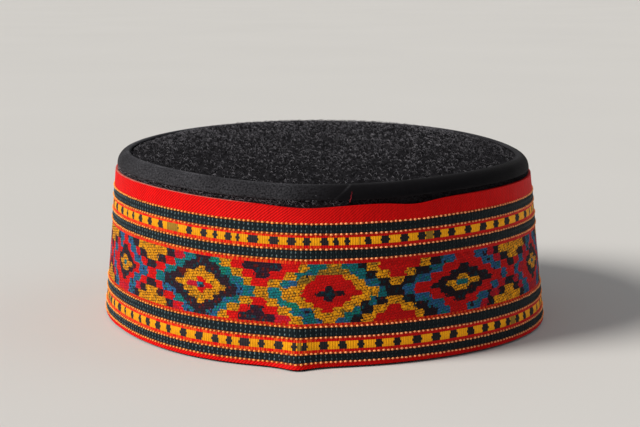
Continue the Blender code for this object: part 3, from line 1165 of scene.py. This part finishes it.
class CAP_OT_fleece_crown(bpy.types.Operator):
    """Makes the fleece crown with its lumpy pile"""

    bl_idname = "skullcap.fleece_crown"
    bl_label = "Fleece crown"

    def execute(self, context):
        piece, column, row = start_grid("fleece_crown", CROWN_CELLS, CROWN_CELLS)
        bearing, spread = round_grid(column, row, CROWN_CELLS)
        points = crown_surface(bearing, spread)
        lumps = soft_noise(points, 0.0026, 4) + 0.55 * soft_noise(points, 0.0011, 6)
        swell = soft_noise(points, 0.022, 8)
        inside = np.clip((1 - spread) * 12, 0, 1)
        points[:, 2] += inside * (0.6 * MM * lumps + 0.35 * MM * swell - PILE_DROP)
        move_vertices(piece, points)
        # The cut edge turns down under the tape, and the underside closes the pad
        bpy.ops.object.mode_set(mode="EDIT")
        bpy.ops.mesh.select_all(action="SELECT")
        bpy.ops.mesh.region_to_loop()
        bpy.ops.mesh.extrude_region_move(TRANSFORM_OT_translate={"value": (0, 0, -1.6 * MM)})
        for shrink, rise in ((0.985, -0.0002), (0.5, 0.0044), (0.02, 0.0011)):
            bpy.ops.mesh.extrude_region_move(TRANSFORM_OT_translate={"value": (0, 0, rise)})
            bpy.ops.transform.resize(value=(shrink, shrink, 1))
        bpy.ops.mesh.merge(type="CENTER")
        bpy.ops.object.mode_set(mode="OBJECT")
        close_and_smooth(piece, gap=1e-6, angle=80)
        colour = context.scene.cap_colours.fleece
        material = fleece_material("curly_pile_fleece_crown", colour, linear("#3A393D")[:3])
        finish_piece(piece, "crown", [material])
        return {"FINISHED"}


class CAP_OT_fleece_curls(bpy.types.Operator):
    """Raises the curls of pile on the crown and along the strip above the border"""

    bl_idname = "skullcap.fleece_curls"
    bl_label = "Fleece curls"

    def execute(self, context):
        sizes = context.scene.cap_sizes
        colours = context.scene.cap_colours
        ground, light = np.array(colours.fleece)[None, :], np.array(colours.curl)[None, :]
        material = curl_material()
        generator = np.random.default_rng(41)
        for half, first in (("a", 0), ("b", 180)):
            count = sizes.curl_count
            bearing = generator.uniform(0, 180, count) + first
            spread = np.sqrt(generator.uniform(0, 0.995**2, count))
            roots = crown_surface(bearing, spread)
            roots[:, 2] -= PILE_DROP
            normals = np.tile([[0.0, 0.0, 1.0]], (count, 1))
            outward = np.stack([np.sin(np.radians(bearing)), -np.cos(np.radians(bearing)), 0 * bearing], -1)
            normals += outward * (7.2 * np.clip(spread - 0.9, 0, 1))[:, None]
            normals /= np.linalg.norm(normals, axis=-1, keepdims=True)
            lengths = sizes.curl_length * generator.uniform(0.55, 1.1, count)
            lengths *= np.clip((1 - spread) * 14 + 0.55, 0.55, 1)
            paths = curly_paths(roots, normals, lengths, 5, generator)
            tone = generator.uniform(0, 1, count)[:, None] ** 1.5
            # Curls at the wearer's left of the crown, away from the key light, are painted up to half as
            # pale: painted shade
            tone *= 1 - 0.5 * np.clip((roots[:, :1] - 0.05) / 0.02, 0, 1)
            thickness = sizes.curl_thickness * generator.uniform(0.7, 1.3, count)
            shade = with_alpha(ground * (1 - tone) + light * tone)
            finish_piece(fibres("crown_curls_" + half, paths, thickness, shade), None, [material])
        count = STRIP_CURLS
        bearing = generator.uniform(-180, 180, count)
        height = generator.uniform(0.0638, 0.0664, count)
        roots, along, upward, out = on_wall_frames(bearing, height, FLEECE_INSET)
        paths = curly_paths(roots, out, generator.uniform(1.0, 2.4, count) * MM, 4, generator)
        # The strip's curls are painted pale on the lit side and nearly dark elsewhere: painted light and
        # shade
        tone = generator.uniform(0, 1, count)[:, None] ** 1.6 * (0.08 + 0.92 * painted_light_share(bearing - 8))[:, None]
        thickness = sizes.curl_thickness * generator.uniform(0.7, 1.2, count)
        shade = with_alpha(ground * (1 - tone) + light * tone)
        finish_piece(fibres("wall_pile_strip", paths, thickness, shade), None, [material])
        return {"FINISHED"}


# Binding tape and loose thread


def rounded_section(section):
    """The closed section with its corners cut, so that the tape rolls over smoothly."""
    points = np.array(section)
    ahead = np.roll(points, -1, axis=0)
    return np.stack([points * 0.75 + ahead * 0.25, points * 0.25 + ahead * 0.75], axis=1).reshape(-1, 2)


def tape_wear_and_painted_light(points, inset, height, raised, past, bearing):
    """How pale the tape is at each vertex: worn at its lip and its lower edge, painted light on its lit end,
    and a painted highlight along the joint's fold.
    """
    lip = np.exp(-((inset / MM - TAPE_LIP_MM) / 1.1) ** 2) * (height > TAPE_LIP_FROM)
    low_edge = np.exp(-((height / MM - TAPE_FOOT_MM) / 0.35) ** 2) * (inset < 0.001)
    patchy = 0.55 + 0.45 * soft_noise(points, 0.009, 16)
    # Painted light on the tape: the piece before the joint follows the lit side a little shifted, the piece
    # more than 55 degrees past it follows the lit side, the rest gets none
    lit_end = np.where(past < 0, painted_light_share(bearing + 3), np.where(past > 55, painted_light_share(bearing), 0))
    wear_and_light = (0.4 * lip + 0.2 * low_edge) * patchy * (0.3 + 0.7 * lit_end) + 0.17 * lit_end * (0.5 + patchy)
    # A painted highlight along the joint's step, where the fold catches the light
    fold_highlight = np.clip((raised - TAPE_FOLD_FROM) / 0.002, 0, 1)
    return wear_and_light + 0.1 * fold_highlight * np.exp(-(((past - 0.1) / 0.22) ** 2))


class CAP_OT_rim_tape(bpy.types.Operator):
    """Rolls the binding tape over the top edge"""

    bl_idname = "skullcap.rim_tape"
    bl_label = "Binding tape"

    def execute(self, context):
        section = rounded_section(TAPE_SECTION) * MM
        rows = len(section)
        piece, column, row = start_grid("rim_tape", TAPE_COLUMNS, rows)
        inset, height = section[row % rows, 0], section[row % rows, 1]
        bearing = column % TAPE_COLUMNS * 360 / TAPE_COLUMNS - 180
        points = place(bearing, height, inset)
        pucker = soft_noise(points * [1, 1, 0.35], 0.011, 12)
        wave = soft_noise(points * [1, 1, 0.2], 0.045, 14)
        on_face = inset < TAPE_FACE_INSET
        stand = np.where(on_face, 0.16 * MM * pucker, 0.05 * MM * pucker)
        # One folded end lies slantwise over the other, just to the wearer's left of the front. The
        # mesh is drawn together there, so that a column follows the slant
        up_joint = np.clip((height - 0.0665) / 0.005, 0, 1)
        joint = TAPE_JOINT_LOW + (TAPE_JOINT_HIGH - TAPE_JOINT_LOW) * up_joint
        middle = (TAPE_JOINT_LOW + TAPE_JOINT_HIGH) / 2
        near = np.exp(-(((bearing - middle) / 4) ** 2))
        bearing = bearing + near * (joint - middle - 0.6 * (bearing - middle))
        past = bearing - joint
        lap = np.clip(past / 0.25, 0, 1) * np.clip(1 - past / 16, 0, 1)
        stand = stand + np.where(on_face, TAPE_LAP * lap, 0)
        raised = height + 0.14 * MM * wave
        move_vertices(piece, place(bearing, raised, inset - stand))
        set_uv(piece, column / TAPE_COLUMNS, row / rows)
        # Worn edges, painted light on the lit end and a painted highlight along the joint, kept as one colour
        wear_and_light = tape_wear_and_painted_light(points, inset, height, raised, past, bearing)
        paint(piece, "wear_and_painted_light", np.stack([wear_and_light, wear_and_light, wear_and_light, np.ones(len(wear_and_light))], -1), "POINT")
        close_and_smooth(piece, angle=70)
        finish_piece(piece, "top_binding", [tape_material(context.scene.cap_colours.tape)])
        return {"FINISHED"}


class CAP_OT_loose_thread(bpy.types.Operator):
    """Leaves the loose red thread that lies over the tape's lower edge"""

    bl_idname = "skullcap.loose_thread"
    bl_label = "Loose red thread"

    def execute(self, context):
        bearing, height, stand = np.array(LOOSE_THREAD).T
        path = place(bearing, height * MM, -stand * MM)[None, :, :]
        shade = np.array([linear(THREAD_COLOURS["c"])])
        piece = fibres("loose_red_thread", path, np.array([LOOSE_THREAD_THICKNESS]), shade)
        finish_piece(piece, None, [yarn_material()])
        return {"FINISHED"}


class CAP_OT_studio(bpy.types.Operator):
    """Sets the pale floor, the soft lights and the camera"""

    bl_idname = "skullcap.studio"
    bl_label = "Floor, lights and camera"

    def execute(self, context):
        scene = context.scene
        bpy.ops.object.select_all(action="DESELECT")
        bpy.ops.mesh.primitive_circle_add(vertices=128, radius=FLOOR_RADIUS, fill_type="NGON")
        floor = context.object
        floor.name = "studio_floor"
        bpy.ops.object.mode_set(mode="EDIT")
        bpy.ops.mesh.select_all(action="SELECT")
        bpy.ops.mesh.inset(thickness=0.02)
        bpy.ops.mesh.select_all(action="SELECT")
        bpy.ops.mesh.region_to_loop()
        for step in range(FLOOR_CURVE_STEPS):
            before = step / FLOOR_CURVE_STEPS * math.pi / 2
            turn = (step + 1) / FLOOR_CURVE_STEPS * math.pi / 2
            rise = FLOOR_CURVE * (math.cos(before) - math.cos(turn))
            wider = FLOOR_RADIUS + FLOOR_CURVE * math.sin(turn)
            wider /= FLOOR_RADIUS + FLOOR_CURVE * math.sin(before)
            bpy.ops.mesh.extrude_region_move(TRANSFORM_OT_translate={"value": (0, 0, rise)})
            bpy.ops.transform.resize(value=(wider, wider, 1))
        bpy.ops.object.mode_set(mode="OBJECT")
        bpy.ops.object.shade_smooth_by_angle(angle=math.radians(30))
        floor.data.materials.append(floor_material())

        world = bpy.data.worlds.new("pale_studio")
        world.use_nodes = True
        background = world.node_tree.nodes["Background"]
        background.inputs["Color"].default_value = linear(ROOM_COLOUR)
        background.inputs["Strength"].default_value = ROOM_STRENGTH
        scene.world = world
        for name, toward, spread, power, colour in LIGHTS:
            lamp = bpy.data.lights.new(name, "SUN")
            lamp.angle = math.radians(spread)
            lamp.energy = power
            lamp.color = linear(colour)[:3]
            holder = bpy.data.objects.new(name, lamp)
            holder.location = toward
            holder.rotation_euler = (-Vector(toward)).to_track_quat("-Z", "Y").to_euler()
            scene.collection.objects.link(holder)

        camera = bpy.data.cameras.new("photo_camera")
        camera.sensor_width = 36.0
        camera.lens = CAMERA_LENS
        camera.clip_start = 0.01
        camera.clip_end = 60.0
        holder = bpy.data.objects.new("photo_camera", camera)
        holder.location = CAMERA_AT
        toward = Vector(CAMERA_LOOKS_AT) - Vector(CAMERA_AT)
        holder.rotation_euler = toward.to_track_quat("-Z", "Y").to_euler()
        scene.collection.objects.link(holder)
        scene.camera = holder
        scene.view_settings.view_transform = "Standard"
        return {"FINISHED"}


class CAP_PT_panel(bpy.types.Panel):
    """Lists the skullcap's pieces in the order they are made"""

    bl_label = "Skullcap"
    bl_space_type = "VIEW_3D"
    bl_region_type = "UI"
    bl_category = "Skullcap"

    def draw(self, context):
        for piece in PIECES:
            self.layout.operator(piece.bl_idname)
        for group in (context.scene.cap_sizes, context.scene.cap_colours):
            for name in group.__annotations__:
                self.layout.prop(group, name)


PIECES = (
    CAP_OT_fleece_wall,
    CAP_OT_fleece_crown,
    CAP_OT_fleece_curls,
    CAP_OT_rim_tape,
    CAP_OT_woven_border,
    CAP_OT_dot_rows,
    CAP_OT_tick_rows,
    CAP_OT_loose_thread,
    CAP_OT_studio,
)
CLASSES = (CapSizes, CapColours) + PIECES + (CAP_PT_panel,)


def register():
    for cls in CLASSES:
        bpy.utils.register_class(cls)
    bpy.types.Scene.cap_sizes = bpy.props.PointerProperty(type=CapSizes)
    bpy.types.Scene.cap_colours = bpy.props.PointerProperty(type=CapColours)


def unregister():
    del bpy.types.Scene.cap_colours
    del bpy.types.Scene.cap_sizes
    for cls in reversed(CLASSES):
        bpy.utils.unregister_class(cls)


def main():
    register()
    bpy.ops.skullcap.fleece_wall()
    bpy.ops.skullcap.fleece_crown()
    bpy.ops.skullcap.fleece_curls()
    bpy.ops.skullcap.rim_tape()
    bpy.ops.skullcap.woven_border()
    bpy.ops.skullcap.dot_rows()
    bpy.ops.skullcap.tick_rows()
    bpy.ops.skullcap.loose_thread()
    bpy.ops.skullcap.studio()


if __name__ == "__main__":
    main()
